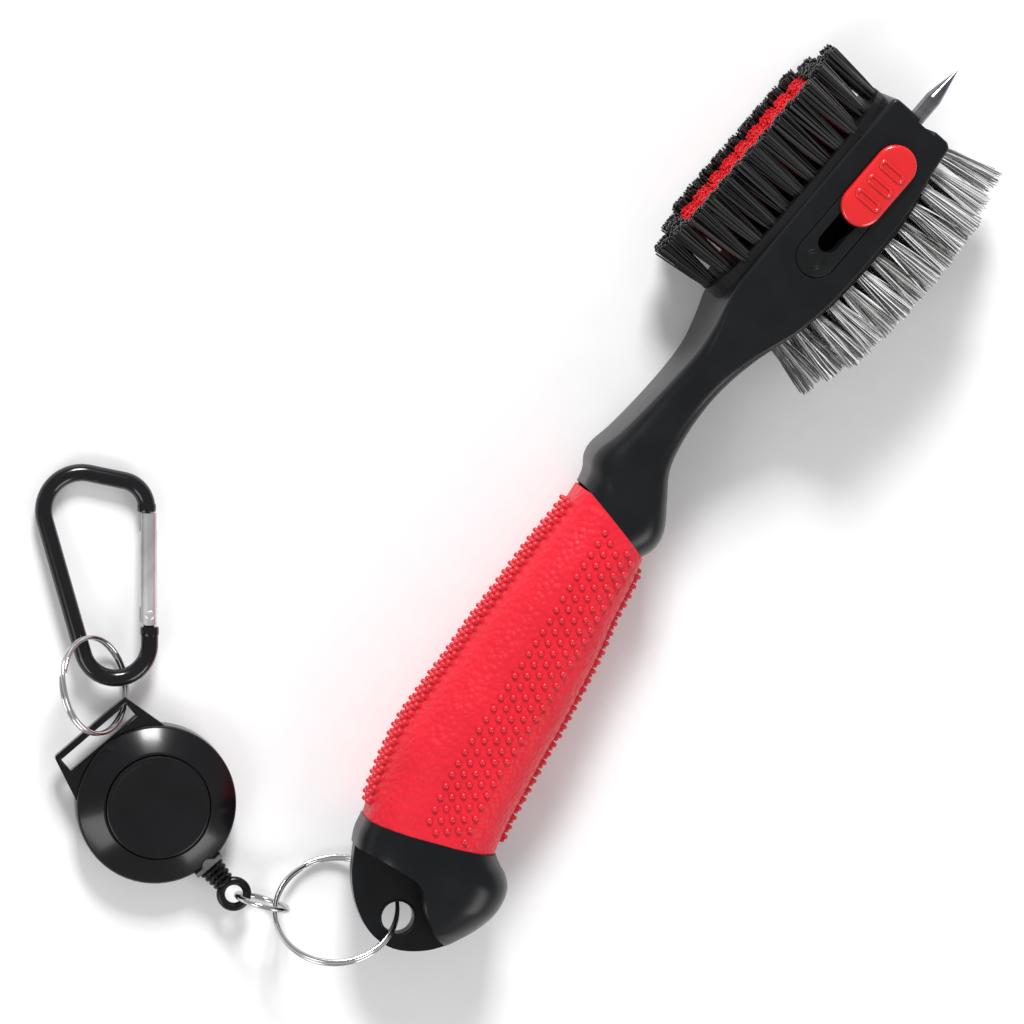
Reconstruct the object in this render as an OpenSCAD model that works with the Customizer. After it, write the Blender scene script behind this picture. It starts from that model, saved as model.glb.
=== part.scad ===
// Club groove brush with a sprung nylon and wire head, a retracting spike and a belt reel.
// It lies on its back: +Z is up through the thumb slider's face, +Y runs along the head to the spike,
// +X points to the wire bristles. The origin is the middle of the head's flat back face.

/* [Head] */
// Depth of the head, from its back face to its slider face
head_depth = 26; // [26:0.5:28]
// Height of the head's end above the origin
head_end_y = 26.2; // [26:0.1:27]
// Length of each oval bristle field
field_length = 53; // [50:0.5:54]
// Width of each oval bristle field
field_width = 25; // [24:0.5:25]
// Length of the nylon tufts outside their pad
nylon_length = 13.9; // [10:0.1:16]
// Length of the wire tufts outside their pad
wire_length = 13; // [10:0.1:16]

/* [Spike] */
// Diameter of the steel spike
spike_d = 3.4; // [3:0.1:3.6]
// How far the spike's point stands out of the head
spike_reach = 13.2; // [10:0.1:14]
// Travel of the thumb slider
slider_travel = 13.5; // [10:0.5:13.5]
// Width of the slot that the slider's stem runs in
slot_w = 4; // [3.9:0.1:4.2]

/* [Grip] */
// Tilt of the grip's axis from the head's axis, in degrees
grip_tilt = 11; // [9:0.5:13]
// Diameter of the small round nubs on the grip's sides
nub_d = 1.1; // [0.8:0.1:1.4]
// Radius of the lanyard hole in the end cap
lanyard_hole_r = 3.3; // [3.2:0.05:3.5]

/* [Rings] */
// Diameter of the wire in the lower split ring
lower_wire_d = 1; // [0.8:0.1:1]
// Mean radius of the lower split ring
lower_ring_r = 12.4; // [12.3:0.1:12.5]
// Diameter of the wire in the upper split ring
upper_wire_d = 0.9; // [0.7:0.1:0.9]
// Mean radius of the upper split ring
upper_ring_r = 9.7; // [9.65:0.05:9.75]
// Mean radius of the small link ring
link_ring_r = 5.4; // [5.3:0.1:5.5]

/* [Reel] */
// Radius of the reel's case
reel_r = 16.2; // [16:0.1:16.5]
// Radius of the raised disc on the reel's front
disc_r = 10.5; // [10:0.1:10.7]
// Radius of the cord
cord_r = 0.6; // [0.5:0.05:0.65]

/* [Carabiner] */
// Diameter of the carabiner's rod
rod_d = 3.5; // [3:0.1:3.6]
// Diameter of the carabiner's gate
gate_d = 3.6; // [3.4:0.1:3.8]

/* [Hidden] */

$fn = 48;
mid_z = head_depth / 2;
eps = 0.01;

black_plastic = [0.09, 0.1, 0.11];
nylon_black = [0.05, 0.05, 0.05];
bright_red = [0.85, 0.08, 0.1];
grip_red = [0.88, 0.14, 0.2];
steel = [0.8, 0.8, 0.82];
reel_black = [0.06, 0.06, 0.07];

// Head outline, clockwise from the tip, as seen on the slider face
head_right = [[5.2, head_end_y], [6.2, head_end_y - 1], [8.2, 15], [9.2, 6], [9.3, -4], [8.9, -14],
    [7.7, -22], [6.2, -27], [5, -31]];
head_left = [[-6.4, -31], [-8.2, -25], [-8.8, -18], [-9.1, 0], [-9.2, 24.6], [-8, head_end_y]];
notch_w = 4.2;
notch_depth = 0.8;

// Inside of the head
cavity_w = 7.9;
cavity_floor_z = 6.8;
cavity_low_y = -12.5;
cavity_high_y = 19.5;
plate_w = 8.9;
plate_low_y = -12.6;
plate_high_y = 20;
plate_floor_z = 22.5;
plate_sink = 0.1;
slot_low_y = -6.6;
slot_high_y = 15.5;
mark_y = -9;
mark_r = 2;

// Bristle pads and tufts
field_y = -0.75;
nylon_seat_x = 5.8;
nylon_face_x = 10.6;
wire_seat_x = 4.9;
wire_proud = 0.4;
tuft_rows = 13;
tuft_columns = 6;
row_pitch = field_length / 12.8;
column_pitch = field_width / 6.25;
red_rows = 9;
red_columns = 4;
root_r = 0.95;
tip_r = 1.9;
root_depth = 3.2;
wire_root_depth = 2.6;
anchor_h = 0.8;

// Slider and spike
button_low_y = 1;
button_high_y = 20;
button_w = 8.7;
button_lift = 0.12;
button_h = 1.6;
stem_gap = 0.15;
stem_low_y = slot_low_y + slider_travel + 0.4;
stem_high_y = slot_high_y - 0.3;
carrier_w = 7.4;
carrier_low_y = 3;
carrier_high_y = 17;
carrier_low_z = 8.3;
carrier_high_z = 21.9;
spike_root_y = 5;
cone_length = 7.4;
spike_gap = 0.05;

// Stations down the neck and the grip: [x, y, tilt, half width, half depth, corner radius]
neck_stations = [
    [0, -19, 0, 6.4, 12.6, 2.2],
    [0, -27, 0, 6.1, 12.4, 2.4],
    [-0.1, -32, 0, 5.2, 11.4, 2.6],
    [-0.2, -38, 0, 4.5, 9.8, 2.8],
    [-0.2, -45, 0, 4.5, 9.3, 3],
    [0.1, -53, 2, 5.1, 9.4, 3.4],
    [0.8, -60, 4, 6.4, 9.8, 4.2],
    [2.3, -65, 2, 8.8, 10.1, 5.5],
    [4.4, -69, -4, 10.5, 10.4, 6.5],
    [5.7, -72.4, -8, 10.2, 10.4, 7],
    [5.6, -74.8, -8, 9.2, 10.2, 7]];
grip_start = [5.7, -75];
// Along the grip: [distance, sideways shift, half width, half depth, corner radius]
grip_profile = [
    [3.5, -0.1, 9.4, 10.3, 7.4],
    [10, -0.4, 10.3, 10.8, 8],
    [17, -0.7, 10.9, 11.2, 8.4],
    [24, -0.7, 11.8, 11.4, 8.8],
    [32, -1, 12.6, 11.6, 9.2],
    [40, -1.2, 13.1, 11.8, 9.4],
    [48, -1.7, 13.6, 12, 9.6],
    [56, -2, 14.1, 12.2, 9.8],
    [63, -1.7, 14, 12.3, 9.8],
    [70, -0.9, 13.9, 12.3, 9.8],
    [77, 0.2, 13.5, 12.3, 9.8],
    [86, 1.2, 13, 12.2, 9.6]];
corner_steps = 5;
tang_depth = 16;
top_cut_angle = -11;
low_cut_angle = 24.3;
low_cut_point = [19.6, -147];
nub_h = 1.2;
nub_pitch = 3.7;
nub_rows = 18;

// End cap
cap_outline = [[6, -151.5], [6.95, -152.7], [8, -156.2], [10.5, -160.2], [13.3, -163.9],
    [17.2, -167.3], [21.3, -169.4], [25.4, -170.1], [29.5, -169.4], [33.6, -166.7], [37.1, -162.6],
    [39.4, -157.2], [40.4, -152], [40, -148], [38.7, -145.1], [36.6, -143.3], [34.1, -142.3],
    [31.5, -140]];
step_line = [[6, -160], [10.7, -157.7], [14.3, -156.7], [20.4, -155.7], [23, -155.7],
    [25.2, -157], [28, -159.3], [32.7, -161.7], [42, -161.7]];
lanyard_hole = [25.85, -164.05];
lip_low_z = 11.4;
lip_high_z = 14.6;
hole_chamfer = 0.9;

// Ring poses: a ring's axis leans from +Z by its tilt, towards its azimuth
lower_tilt = 43;
lower_azimuth = 143.4;
lower_phase = -112.7;
upper_tilt = 46.3;
upper_azimuth = 56.7;
upper_centre = [-51.49, -167.78, 8.27];
link_wire_r = 0.6;
link_angle = 24.7;
link_z = 6.3;

// Reel
reel_centre = [-25.4, -178.3];
exit_angle = -9.1;
exit_z = 5;
eye_distance = 24.7;
eye_r = 3.6;
eye_hole_r = 1.8;
eye_h = 2.2;
tab_low_z = 4;
shell_split_z = 5.6;
shell_wall = 1.3;
tab_reach = 21;
slot_near = 16.7;
slot_far = 19.7;
slot_half_length = 8.6;
spool_r = 12.6;
hub_r = 9;
winding_r = 12.1;
axle_r = 1.6;
running_gap = 0.05;

// Carabiner, in its own plane: u across, v along its length, from the middle of its outline
carabiner_at = [-64.7, -150.6, 3.35];
carabiner_turn = 40.4;
carabiner_lean = -3.8;
wide_bend = [-3.25, 13.1];
wide_bend_r = 7.65;
nose_bend = [4.2, 13.5];
nose_bend_r = 5.7;
low_bend = [3.65, -13.95];
low_bend_r = 6.85;
gate_top_v = 12.5;
gate_low_v = -10.1;
gate_u = 10.2;
pivot_v = -8;
pivot_r = 0.6;
tongue_t = 1.4;
latch_v = 11;
gate_heel_r = 2.25;
latch_pin_r = 0.4;
latch_pin_h = 2.6;

function reel_point(r, t, z) = [
    reel_centre.x + r * cos(exit_angle) - t * sin(exit_angle),
    reel_centre.y + r * sin(exit_angle) + t * cos(exit_angle), z];
function leaned(v, tilt, azimuth) =
    let (x = v.x * cos(tilt) + v.z * sin(tilt), z = -v.x * sin(tilt) + v.z * cos(tilt))
    [x * cos(azimuth) - v.y * sin(azimuth), x * sin(azimuth) + v.y * cos(azimuth), z];
function grip_point(s, w) = [
    grip_start.x + s * sin(grip_tilt) + w * cos(grip_tilt),
    grip_start.y - s * cos(grip_tilt) + w * sin(grip_tilt)];
function grip_station(p) = let (c = grip_point(p[0], p[1])) [c.x, c.y, grip_tilt, p[2], p[3], p[4]];
function arc_points(c, r, a0, a1, steps) = [for (i = [0:steps]) let (a = a0 + (a1 - a0) * i / steps)
    [c.x + r * cos(a), c.y + r * sin(a)]];
function rounded_ring(hw, hd, r) = concat(
    arc_points([hw - r, hd - r], r, 0, 90, corner_steps),
    arc_points([r - hw, hd - r], r, 90, 180, corner_steps),
    arc_points([r - hw, r - hd], r, 180, 270, corner_steps),
    arc_points([hw - r, r - hd], r, 270, 360, corner_steps));
function placed_ring(s) = [for (p = rounded_ring(s[3], s[4], s[5]))
    [s[0] + p.x * cos(s[2]), s[1] + p.x * sin(s[2]), mid_z + p.y]];

lower_centre = let (o = leaned([cos(lower_phase), sin(lower_phase), 0], lower_tilt, lower_azimuth))
    [lanyard_hole.x, lanyard_hole.y, mid_z] - lower_ring_r * o;
eye_centre = reel_point(eye_distance, 0, exit_z);
link_centre = [eye_centre.x + 5.84 * cos(link_angle), eye_centre.y + 5.84 * sin(link_angle), link_z];

// A smooth body through rounded-rectangle stations
module loft(stations) {
    rings = [for (s = stations) placed_ring(s)];
    n = len(rings[0]);
    m = len(rings);
    points = [for (ring = rings) for (p = ring) p];
    first = [[for (i = [0:n - 1]) i]];
    last = [[for (i = [n - 1:-1:0]) (m - 1) * n + i]];
    sides = [for (j = [0:m - 2]) for (i = [0:n - 1]) for (half = [0, 1]) let (k = (i + 1) % n)
        half == 0 ? [j * n + i, (j + 1) * n + i, (j + 1) * n + k] : [j * n + i, (j + 1) * n + k, j * n + k]];
    polyhedron(points, concat(first, sides, last), convexity = 6);
}

// The half of the plane on the spike's side of a slanting cut
module above_cut(point, angle, z0, z1) {
    translate([point.x, point.y, z0]) rotate([0, 0, angle]) translate([-60, 0, 0]) cube([120, 200, z1 - z0]);
}

module grip_loft() {
    loft(concat(neck_stations, [for (p = grip_profile) grip_station(p)]));
}

// The handle core's flat tang, which the grip is moulded over and the cap is pressed on
module tang() {
    translate([0, 0, mid_z - tang_depth / 2]) linear_extrude(tang_depth)
        polygon([grip_point(-6, -6.8), grip_point(-6, 6.8), grip_point(68, 10), grip_point(77, 7),
            grip_point(77, -6), grip_point(68, -9)]);
}

module stadium(width, y0, y1, z0, z1) {
    r = width / 2;
    translate([0, 0, z0]) linear_extrude(z1 - z0) union() {
        translate([0, y0 + r]) circle(r);
        translate([0, y1 - r]) circle(r);
        translate([-r, y0 + r]) square([width, y1 - y0 - width]);
    }
}

// An oval prism along X, from x0 to x1
module field_oval(x0, x1) {
    r = field_width / 2;
    half = field_length / 2;
    steps = 12;
    outline = [for (i = [0:4 * steps - 1]) let (a = 90 * i / steps)
        [sign(cos(a)) * half * pow(abs(cos(a)), 0.75), sign(sin(a)) * r * pow(abs(sin(a)), 0.75)]];
    translate([x0, field_y, mid_z]) rotate([90, 0, 90]) linear_extrude(x1 - x0) polygon(outline);
}

module head_prism() {
    linear_extrude(head_depth) polygon(concat(head_right, head_left));
}

// The wire pad's crowned face follows the head's side
module wire_face(proud) {
    face = [for (p = head_right) [p.x + proud, p.y]];
    translate([0, 0, -1]) linear_extrude(head_depth + 2)
        polygon(concat([[0, head_end_y + 1], [face[0].x, head_end_y + 1]], face, [[0, -31]]));
}

function tuft_y(i) = field_y + (i - (tuft_rows - 1) / 2) * row_pitch;
function tuft_z(j) = mid_z + (j - (tuft_columns - 1) / 2) * column_pitch;
function in_field(i, j) = pow((tuft_y(i) - field_y) / field_length, 2)
    + pow((tuft_z(j) - mid_z) / field_width / 1.05, 2) <= 0.263;
function is_red(i, j) = abs(i - (tuft_rows - 1) / 2) <= (red_rows - 1) / 2
    && abs(j - (tuft_columns - 1) / 2) <= (red_columns - 1) / 2;
// The wire pad's face at a height, by straight lines between the outline's points
function wire_face_x(y) = wire_proud + lookup(y, [for (p = head_right) [p.y, p.x]]);

module along_x(x, y, z, side) {
    translate([x, y, z]) rotate([0, side * 90, 0]) children();
}

module nylon_tufts(red) {
    for (i = [0:tuft_rows - 1], j = [0:tuft_columns - 1])
        if (in_field(i, j) && is_red(i, j) == red)
            along_x(-nylon_face_x, tuft_y(i), tuft_z(j), -1) {
                translate([0, 0, anchor_h - root_depth])
                    cylinder(h = root_depth - anchor_h, r = root_r, $fn = 16);
                cylinder(h = nylon_length, r1 = root_r, r2 = tip_r, $fn = 16);
            }
}

module wire_tuft_group() {
    for (i = [0:tuft_rows - 1], j = [0:tuft_columns - 1])
        if (in_field(i, j))
            along_x(wire_face_x(tuft_y(i)), tuft_y(i), tuft_z(j), 1) {
                translate([0, 0, anchor_h - wire_root_depth + 1])
                    cylinder(h = wire_root_depth - anchor_h, r = root_r, $fn = 16);
                translate([0, 0, 1]) cylinder(h = wire_length - 1, r1 = root_r, r2 = tip_r - 0.1, $fn = 16);
            }
}

module tuft_holes(side) {
    for (i = [0:tuft_rows - 1], j = [0:tuft_columns - 1])
        if (in_field(i, j)) {
            x = side > 0 ? wire_face_x(tuft_y(i)) + 1 : -nylon_face_x;
            depth = side > 0 ? wire_root_depth : root_depth;
            along_x(x, tuft_y(i), tuft_z(j), side)
                translate([0, 0, -depth]) cylinder(h = depth + 1, r = root_r, $fn = 16);
        }
}

module anchors(side) {
    for (i = [0:tuft_rows - 1], j = [0:tuft_columns - 1])
        if (in_field(i, j)) {
            x = side > 0 ? wire_face_x(tuft_y(i)) + 1 : -nylon_face_x;
            depth = side > 0 ? wire_root_depth : root_depth;
            along_x(x, tuft_y(i), tuft_z(j), side)
                translate([-0.2, -0.8, -depth + eps]) cube([0.4, 1.6, anchor_h - 2 * eps]);
        }
}

module handle_core() {
    color(black_plastic) difference() {
        union() {
            head_prism();
            intersection() {
                grip_loft();
                above_cut(grip_start, top_cut_angle, -5, head_depth + 5);
            }
            tang();
        }
        stadium(plate_w, plate_low_y, plate_high_y, plate_floor_z, head_depth + 1);
        translate([-cavity_w / 2, cavity_low_y, cavity_floor_z])
            cube([cavity_w, cavity_high_y - cavity_low_y, plate_floor_z - cavity_floor_z + eps]);
        translate([0, cavity_high_y - 1, mid_z]) rotate([-90, 0, 0])
            cylinder(h = 10, r = spike_d / 2 + spike_gap);
        translate([-notch_w / 2, head_end_y - notch_depth, -1]) cube([notch_w, 5, head_depth + 2]);
        field_oval(-20, -nylon_seat_x);
        field_oval(wire_seat_x, 20);
    }
}

module nylon_pad() {
    color(nylon_black) difference() {
        field_oval(-nylon_face_x, -nylon_seat_x);
        tuft_holes(-1);
    }
}

module wire_pad() {
    color(nylon_black) difference() {
        intersection() {
            field_oval(wire_seat_x, 20);
            wire_face(wire_proud);
        }
        tuft_holes(1);
    }
}

module nylon_tufts_black() {
    color(nylon_black) nylon_tufts(false);
}

module nylon_tufts_red() {
    color(bright_red) nylon_tufts(true);
}

module nylon_anchors() {
    color(steel) anchors(-1);
}

module wire_tufts() {
    color(steel) wire_tuft_group();
}

module wire_anchors() {
    color(steel) anchors(1);
}

module track_plate() {
    color(black_plastic) difference() {
        stadium(plate_w, plate_low_y, plate_high_y, plate_floor_z, head_depth - plate_sink);
        stadium(slot_w, slot_low_y, slot_high_y, plate_floor_z - 1, head_depth + 1);
        translate([0, mark_y, head_depth - 0.4]) difference() {
            cylinder(h = 1, r = mark_r);
            translate([0, 0, -1]) cylinder(h = 3, r = mark_r - 0.4);
        }
    }
}

module thumb_slider() {
    top_z = head_depth + button_lift + button_h;
    color(bright_red) union() {
        stadium(button_w, button_low_y, button_high_y, head_depth + button_lift, top_z);
        stadium(slot_w - 2 * stem_gap, stem_low_y, stem_high_y,
            carrier_high_z - 5, head_depth + button_lift + eps);
        for (y = [7, 10.6, 14.3])
            translate([0, y, top_z - eps]) rotate([0, 0, 90]) stadium(1.4, -3, 3, 0, 0.35);
    }
}

module spike_carrier() {
    color("dimgray") difference() {
        translate([-carrier_w / 2, carrier_low_y, carrier_low_z])
            cube([carrier_w, carrier_high_y - carrier_low_y, carrier_high_z - carrier_low_z]);
        translate([0, spike_root_y, mid_z]) rotate([-90, 0, 0]) cylinder(h = 20, r = spike_d / 2);
        stadium(slot_w - 2 * stem_gap, stem_low_y, stem_high_y, carrier_high_z - 5, carrier_high_z + 1);
    }
}

module spike() {
    shank = head_end_y + spike_reach - cone_length - spike_root_y;
    color(steel) translate([0, spike_root_y, mid_z]) rotate([-90, 0, 0]) union() {
        cylinder(h = shank, r = spike_d / 2);
        translate([0, 0, shank]) cylinder(h = cone_length, r1 = spike_d / 2, r2 = 0.12);
    }
}

// A bowed leaf that presses the carrier's underside against the cavity's floor
module detent_spring() {
    color(steel) translate([-2.5, 0, 0]) rotate([90, 0, 90]) linear_extrude(5)
        polygon([[4, 8.3], [4, 7.9], [7, 7.3], [9.2, 6.9], [10.8, 6.9], [13, 7.3], [16, 7.9], [16, 8.3],
            [13, 7.7], [10.7, 7.3], [9.3, 7.3], [7, 7.7]]);
}

// One round nub standing out of a side of the grip
module side_nub(s, side) {
    half = lookup(s, [for (p = grip_profile) [p[0], p[2]]]);
    shift = lookup(s, [for (p = grip_profile) [p[0], p[1]]]);
    at = grip_point(s, shift + side * half);
    translate([at.x, at.y, mid_z]) rotate([0, 0, grip_tilt]) rotate([0, side * 90, 0])
        translate([0, 0, -0.5]) cylinder(h = nub_h + 0.5, r = nub_d / 2, $fn = 16);
}

module grip_sleeve() {
    color(grip_red) union() {
        difference() {
            intersection() {
                grip_loft();
                above_cut(low_cut_point, low_cut_angle, -5, head_depth + 5);
            }
            above_cut(grip_start, top_cut_angle, -6, head_depth + 6);
            tang();
        }
        for (side = [-1, 1], i = [1:nub_rows]) side_nub(i * nub_pitch + 2 + (side < 0 ? 1.5 : -2), side);
    }
}

// The cap seen from its side: full depth at the grip and thinner at the tip
module cap_side_profile() {
    tip = 27;
    profile = [[-3, 12.2], [6, 12.4], [12, 11.6], [18, 9.8], [23, 7.2], [tip, 3.4]];
    translate([low_cut_point.x, low_cut_point.y, mid_z]) rotate([0, 0, 8]) rotate([90, 90, 90])
        translate([0, 0, -60]) linear_extrude(120)
        polygon(concat([for (p = profile) [p.y, -p.x]],
            [for (i = [len(profile) - 1:-1:0]) [-profile[i].y, -profile[i].x]]));
}

// The cap's rounded section, along the grip's axis
module cap_section() {
    c = grip_point(70, 2.5);
    translate([c.x, c.y, mid_z]) rotate([90, 0, grip_tilt + 7]) translate([0, 0, -20]) linear_extrude(80)
        polygon(rounded_ring(17.6, 12.5, 9.5));
}

module end_cap() {
    color([0.1, 0.1, 0.11]) difference() {
        intersection() {
            translate([0, 0, 0.3]) linear_extrude(head_depth - 0.6) polygon(cap_outline);
            cap_side_profile();
            cap_section();
        }
        for (pocket = [[lip_high_z, head_depth], [0, lip_low_z]])
            translate([0, 0, pocket[0] - (pocket[0] == 0 ? 1 : 0)]) linear_extrude(pocket[1] - pocket[0] + 1)
                polygon(concat(step_line, [[42, -175], [6, -175]]));
        above_cut(low_cut_point, low_cut_angle, -5, head_depth + 5);
        translate([lanyard_hole.x, lanyard_hole.y, 0]) union() {
            cylinder(h = head_depth, r = lanyard_hole_r);
            translate([0, 0, lip_high_z - hole_chamfer])
                cylinder(h = hole_chamfer + eps, r1 = lanyard_hole_r, r2 = lanyard_hole_r + hole_chamfer);
            translate([0, 0, lip_low_z - eps])
                cylinder(h = hole_chamfer + eps, r1 = lanyard_hole_r + hole_chamfer, r2 = lanyard_hole_r);
        }
        tang();
    }
}

// Two turns of wire lying side by side, as one closed ring
module split_ring(r, wire_d, centre, tilt, azimuth) {
    translate(centre) rotate([0, tilt, azimuth]) rotate_extrude() translate([r, 0]) union() {
        translate([0, wire_d / 2]) circle(wire_d / 2, $fn = 24);
        translate([0, -wire_d / 2]) circle(wire_d / 2, $fn = 24);
        square([wire_d, wire_d], center = true);
    }
}

module lower_split_ring() {
    color(steel) split_ring(lower_ring_r, lower_wire_d, lower_centre, lower_tilt, lower_azimuth);
}

module link_ring() {
    color(steel) translate(link_centre) rotate([90, 0, link_angle]) rotate_extrude()
        translate([link_ring_r, 0]) circle(link_wire_r, $fn = 24);
}

// Places its children on the cord's line, +X away from the reel
module on_cord_line(distance) {
    translate(reel_point(distance, 0, exit_z)) rotate([0, 0, exit_angle]) children();
}

module cord_eye() {
    color(reel_black) difference() {
        union() {
            on_cord_line(eye_distance) translate([0, 0, -eye_h / 2]) cylinder(h = eye_h, r = eye_r);
            on_cord_line(17.3) rotate([0, 90, 0]) cylinder(h = 5, r = 1.2);
            for (i = [0:3])
                on_cord_line(17.3 + 1.15 * i) rotate([0, 90, 0]) cylinder(h = 0.75, r = 2.8 - 0.15 * i);
        }
        on_cord_line(eye_distance) translate([0, 0, -5]) cylinder(h = 10, r = eye_hole_r);
    }
}

module cord_lead() {
    color([0.12, 0.12, 0.12]) on_cord_line(12.2) rotate([0, 90, 0]) cylinder(h = 5.1, r = cord_r);
}

module reel_turned(points) {
    translate([reel_centre.x, reel_centre.y, 0]) rotate([0, 0, exit_angle])
        rotate_extrude($fn = 96) polygon(points);
}

module exit_hole(r) {
    on_cord_line(10) rotate([0, 90, 0]) cylinder(h = 10, r = r);
}

module reel_back_shell() {
    inner_r = reel_r - shell_wall;
    color(reel_black) difference() {
        union() {
            reel_turned([[0, 0], [reel_r - 1.3, 0], [reel_r, 1.3], [reel_r, shell_split_z],
                [0, shell_split_z]]);
            translate([reel_centre.x, reel_centre.y, tab_low_z]) rotate([0, 0, exit_angle + 180])
                linear_extrude(shell_split_z - tab_low_z)
                polygon([[8, -12.6], [tab_reach, -9.3], [tab_reach, 9.3], [8, 12.6]]);
        }
        reel_turned([[0, 1.2], [inner_r, 1.2], [inner_r, shell_split_z + 1], [0, shell_split_z + 1]]);
        translate([reel_centre.x, reel_centre.y, 0]) rotate([0, 0, exit_angle + 180])
            translate([slot_near, -slot_half_length, 0])
                cube([slot_far - slot_near, 2 * slot_half_length, 10]);
        exit_hole(2);
    }
}

module reel_front_shell() {
    inner_r = reel_r - shell_wall;
    color(reel_black) difference() {
        reel_turned([[0, shell_split_z], [reel_r, shell_split_z], [reel_r, 6.2], [disc_r + 0.3, 9.2],
            [disc_r, 9.2], [disc_r, 7.9], [0, 7.9]]);
        reel_turned([[0, 4], [inner_r, 4], [inner_r, 6], [12.8, 7.2], [0, 7.2]]);
        exit_hole(2);
    }
}

module reel_front_disc() {
    color(reel_black) reel_turned([[0, 7.9], [disc_r, 7.9], [disc_r, 9.3], [disc_r - 0.3, 9.6], [0, 9.6]]);
}

module exit_bush() {
    color("gray") difference() {
        union() {
            on_cord_line(14.6) rotate([0, 90, 0]) cylinder(h = 2.4, r = 2);
            on_cord_line(reel_r) translate([0.05, -3.3, -1.8]) cube([0.75, 6.6, 3.6]);
        }
        exit_hole(cord_r + 0.15);
    }
}

module reel_axle() {
    color(steel) reel_turned([[0, 1.2], [axle_r, 1.2], [axle_r, 7.2], [0, 7.2]]);
}

module spool() {
    bore_r = axle_r + running_gap;
    color("dimgray") reel_turned([[hub_r - 1.2, 1.5], [spool_r, 1.5], [spool_r, 2.1], [hub_r, 2.1],
        [hub_r, 6.3], [spool_r, 6.3], [spool_r, 6.9], [bore_r, 6.9], [bore_r, 6.3], [hub_r - 1.2, 6.3]]);
}

module cord_winding() {
    color([0.12, 0.12, 0.12]) reel_turned([[hub_r, 2.1], [winding_r, 2.1], [winding_r, 6.3], [hub_r, 6.3]]);
}

module power_spring() {
    color(steel) reel_turned([[2.2, 1.8], [7.4, 1.8], [7.4, 5.8], [2.2, 5.8]]);
}

module upper_split_ring() {
    color(steel) split_ring(upper_ring_r, upper_wire_d, upper_centre, upper_tilt, upper_azimuth);
}

module carabiner_plane() {
    translate(carabiner_at) rotate([carabiner_lean, 0, carabiner_turn]) children();
}

// A round rod swept through points in the carabiner's plane
module rod_sweep(path, d) {
    sides = 16;
    m = len(path);
    rings = [for (j = [0:m - 1])
        let (run = path[min(j + 1, m - 1)] - path[max(j - 1, 0)], across = [-run.y, run.x] / norm(run))
        [for (i = [0:sides - 1]) let (a = 360 * i / sides)
            [path[j].x + across.x * d / 2 * cos(a), path[j].y + across.y * d / 2 * cos(a), d / 2 * sin(a)]]];
    points = [for (ring = rings) for (p = ring) p];
    walls = [for (j = [0:m - 2]) for (i = [0:sides - 1]) for (half = [0, 1]) let (k = (i + 1) % sides)
        half == 0 ? [j * sides + i, (j + 1) * sides + i, (j + 1) * sides + k]
        : [j * sides + i, (j + 1) * sides + k, j * sides + k]];
    caps = [[for (i = [0:sides - 1]) i], [for (i = [sides - 1:-1:0]) (m - 1) * sides + i]];
    polyhedron(points, concat(caps, walls), convexity = 6);
}

module rod_bar(p, q, d) {
    run = q - p;
    translate(p) rotate([0, 0, atan2(run.y, run.x)]) rotate([0, 90, 0])
        cylinder(h = norm(run), r = d / 2, $fn = 32);
}

function tangent_angle(c1, r1, c2, r2, side) = let (run = c2 - c1)
    atan2(run.y, run.x) + side * acos((r1 - r2) / norm(run));

module carabiner_frame() {
    top_angle = tangent_angle(wide_bend, wide_bend_r, nose_bend, nose_bend_r, 1);
    spine_angle = tangent_angle(wide_bend, wide_bend_r, low_bend, low_bend_r, -1) + 360;
    nose_u = nose_bend.x + nose_bend_r;
    low_u = low_bend.x + low_bend_r;
    color(reel_black) carabiner_plane() difference() {
        union() {
            rod_sweep(concat(
                [[nose_u, gate_top_v + 0.3]],
                arc_points(nose_bend, nose_bend_r, 0, top_angle, 8),
                arc_points(wide_bend, wide_bend_r, top_angle, spine_angle, 12),
                arc_points(low_bend, low_bend_r, spine_angle, 360, 16),
                [[low_u, gate_low_v - 0.4]]), rod_d);
            rod_bar([nose_u, 14.3], [nose_u, gate_top_v + 0.2], gate_d + 0.2);
            rod_bar([low_u, -12.2], [low_u, gate_low_v - 0.3], gate_d + 0.2);
            translate([low_u - 1.6, -12, -tongue_t / 2]) cube([2.6, 12 + pivot_v, tongue_t]);
            translate([low_u - 0.1, pivot_v, -tongue_t / 2]) cylinder(h = tongue_t, r = 1.3);
            translate([nose_u - 0.25, latch_v - 1.3, -tongue_t / 2]) cube([0.9, 3.5, tongue_t]);
        }
        translate([low_u - 0.1, pivot_v, -3]) cylinder(h = 6, r = pivot_r);
    }
}

module gate_pivot_pin() {
    color(steel) carabiner_plane() translate([low_bend.x + low_bend_r - 0.1, pivot_v, -gate_d / 2 + 0.1])
        cylinder(h = gate_d - 0.2, r = pivot_r);
}

module carabiner_gate() {
    low_u = low_bend.x + low_bend_r;
    color([0.78, 0.78, 0.78]) carabiner_plane() difference() {
        rod_bar([gate_u, gate_low_v], [gate_u, gate_top_v], gate_d);
        // The inner corner is rounded, so that the gate swings in without touching the collar
        translate([low_u - 0.1, pivot_v, -3]) difference() {
            translate([-4, -4, 0]) cube([4, 4, 6]);
            translate([0, 0, -1]) cylinder(h = 8, r = gate_heel_r);
        }
        translate([low_u - 3, gate_low_v - 1, -tongue_t / 2 - 0.1]) cube([6, 4.6, tongue_t + 0.2]);
        translate([gate_u - 3, latch_v - 2.2, -tongue_t / 2 - 0.1]) cube([6, 6, tongue_t + 0.2]);
        translate([low_u - 0.1, pivot_v, -3]) cylinder(h = 6, r = pivot_r + running_gap);
        translate([gate_u - 0.6, 0, 0]) rotate([90, 0, 0]) cylinder(h = -gate_low_v - 4.5, r = 0.9);
        latch_pin_at() cylinder(h = latch_pin_h, r = latch_pin_r);
    }
}

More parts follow.
